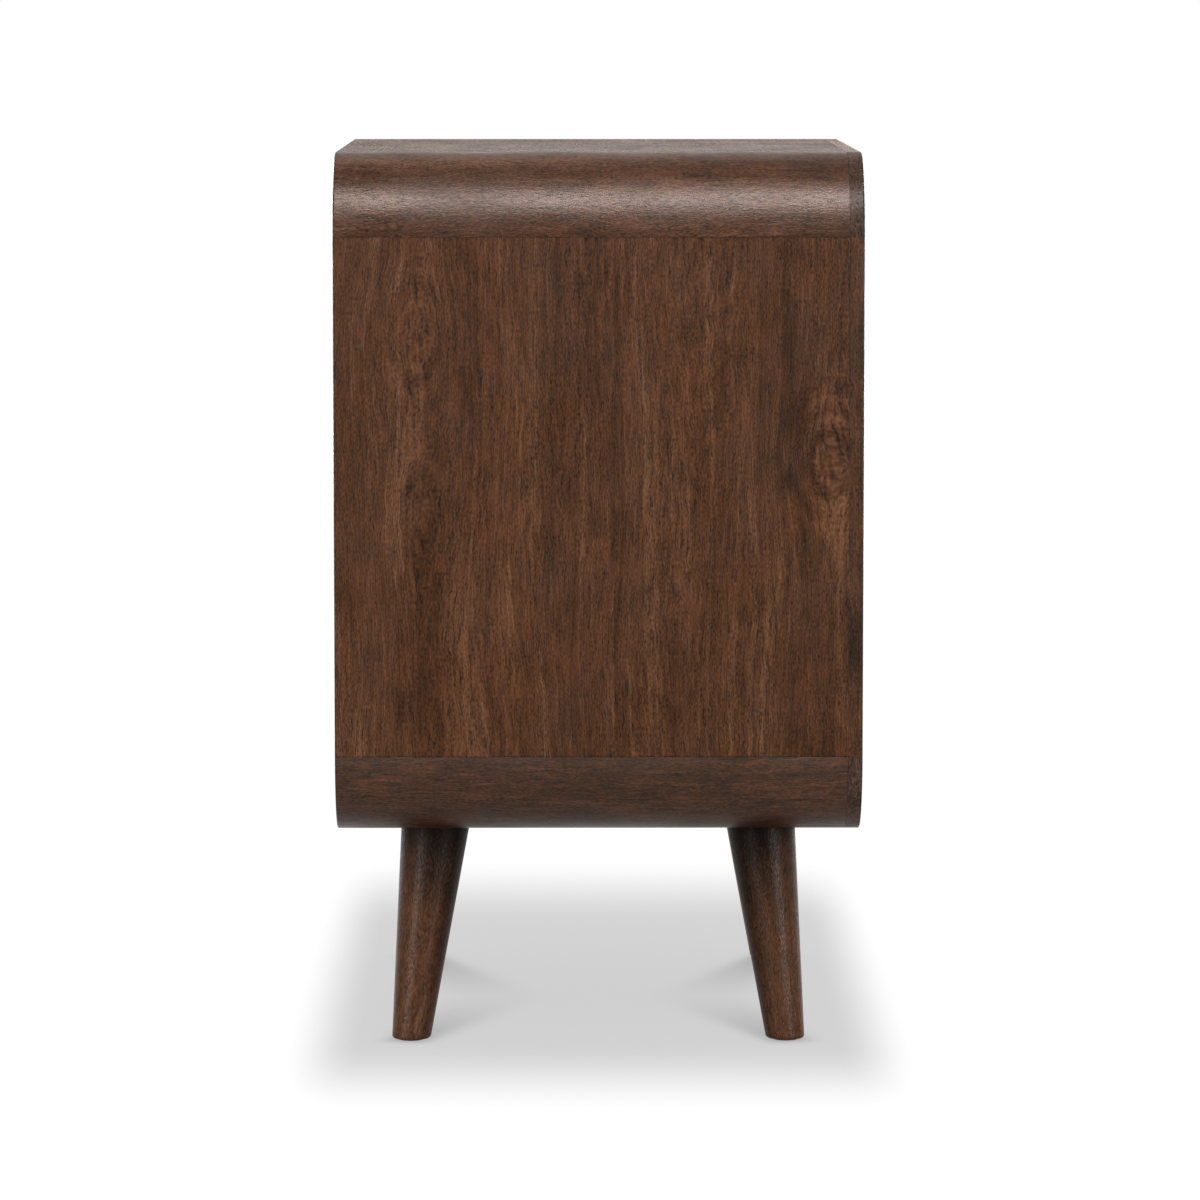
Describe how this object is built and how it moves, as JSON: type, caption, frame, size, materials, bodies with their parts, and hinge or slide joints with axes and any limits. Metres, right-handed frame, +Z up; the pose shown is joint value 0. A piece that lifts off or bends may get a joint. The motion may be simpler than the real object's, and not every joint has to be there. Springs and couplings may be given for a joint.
{
  "type": "nightstand",
  "caption": "Wooden nightstand: rounded-corner case on splayed tapered legs, with inset drawers that slide on ball runners and open by finger pulls cut in their fronts.",
  "frame": {"origin": "centre of the footprint, on the floor under the glides", "axes": "+X to the right as seen from the front, +Y to the back, so the front faces -Y, +Z up"},
  "size_m": [0.5, 0.38, 0.65],
  "materials": {
    "walnut_case": "dark walnut stain, open pores, satin lacquer",
    "walnut_facing": "dark walnut stain, open pores, satin lacquer",
    "walnut_front": "dark walnut stain, open pores, satin lacquer",
    "walnut_leg": "turned walnut, dark stain, satin lacquer",
    "walnut_back": "veneered board, dark stain",
    "drawer_box_wood": "pale hardwood, clear oil",
    "drawer_bottom_ply": "birch plywood, clear",
    "beech_dowel": "plain beech",
    "runner_steel": "zinc plated, rolled sheet",
    "cage_steel": "zinc plated, thin oil film",
    "zinc_screw": "zinc plated",
    "glide_nylon": "matt, slightly worn"
  },
  "bodies": {
    "case": {"side_panel_left": "walnut_case", "side_panel_right": "walnut_case", "top_panel": "walnut_case", "bottom_panel": "walnut_case", "shoulder_top_left": "walnut_case", "shoulder_top_right": "walnut_case", "shoulder_bottom_left": "walnut_case", "shoulder_bottom_right": "walnut_case", "facing_stile_left": "walnut_facing", "facing_stile_right": "walnut_facing", "facing_rail_top": "walnut_facing", "facing_rail_bottom": "walnut_facing", "facing_corner_top_left": "walnut_facing", "facing_corner_top_right": "walnut_facing", "facing_corner_bottom_left": "walnut_facing", "facing_corner_bottom_right": "walnut_facing", "divider_rail": "walnut_facing", "joint_dowels": "beech_dowel", "back_panel": "walnut_back", "back_panel_screws": "zinc_screw", "leg_front_left": "walnut_leg", "leg_front_right": "walnut_leg", "leg_back_left": "walnut_leg", "leg_back_right": "walnut_leg", "leg_bolts": "zinc_screw", "leg_nuts": "zinc_screw", "foot_glides": "glide_nylon", "runner_case_screws": "zinc_screw", "runner_case_upper_left": "runner_steel", "runner_case_upper_right": "runner_steel", "runner_case_lower_left": "runner_steel", "runner_case_lower_right": "runner_steel"},
    "upper_runner_middles": {"runner_middle_upper_left": "runner_steel", "runner_middle_upper_right": "runner_steel", "ball_cages_upper": "cage_steel"},
    "upper_drawer": {"drawer_front_upper": "walnut_front", "box_front_upper": "drawer_box_wood", "box_back_upper": "drawer_box_wood", "box_side_upper_left": "drawer_box_wood", "box_side_upper_right": "drawer_box_wood", "box_bottom_upper": "drawer_bottom_ply", "runner_drawer_upper_left": "runner_steel", "runner_drawer_upper_right": "runner_steel", "runner_drawer_screws_upper": "zinc_screw", "front_screws_upper": "zinc_screw"},
    "lower_runner_middles": {"runner_middle_lower_left": "runner_steel", "runner_middle_lower_right": "runner_steel", "ball_cages_lower": "cage_steel"},
    "lower_drawer": {"drawer_front_lower": "walnut_front", "box_front_lower": "drawer_box_wood", "box_back_lower": "drawer_box_wood", "box_side_lower_left": "drawer_box_wood", "box_side_lower_right": "drawer_box_wood", "box_bottom_lower": "drawer_bottom_ply", "runner_drawer_lower_left": "runner_steel", "runner_drawer_lower_right": "runner_steel", "runner_drawer_screws_lower": "zinc_screw", "front_screws_lower": "zinc_screw"}
  },
  "joints": [
    {"name": "upper_drawer_slide", "type": "slide", "parent": "case", "child": "upper_drawer", "axis": [0, -1, 0], "range_m": [0, 0.28]},
    {"name": "upper_middles_slide", "type": "slide", "parent": "case", "child": "upper_runner_middles", "axis": [0, -1, 0], "range_m": [0, 0.14]},
    {"name": "lower_drawer_slide", "type": "slide", "parent": "case", "child": "lower_drawer", "axis": [0, -1, 0], "range_m": [0, 0.28]},
    {"name": "lower_middles_slide", "type": "slide", "parent": "case", "child": "lower_runner_middles", "axis": [0, -1, 0], "range_m": [0, 0.14]}
  ],
  "couplings": [
    {"joint": "upper_middles_slide", "follows": "upper_drawer_slide", "ratio": 0.5},
    {"joint": "lower_middles_slide", "follows": "lower_drawer_slide", "ratio": 0.5}
  ]
}
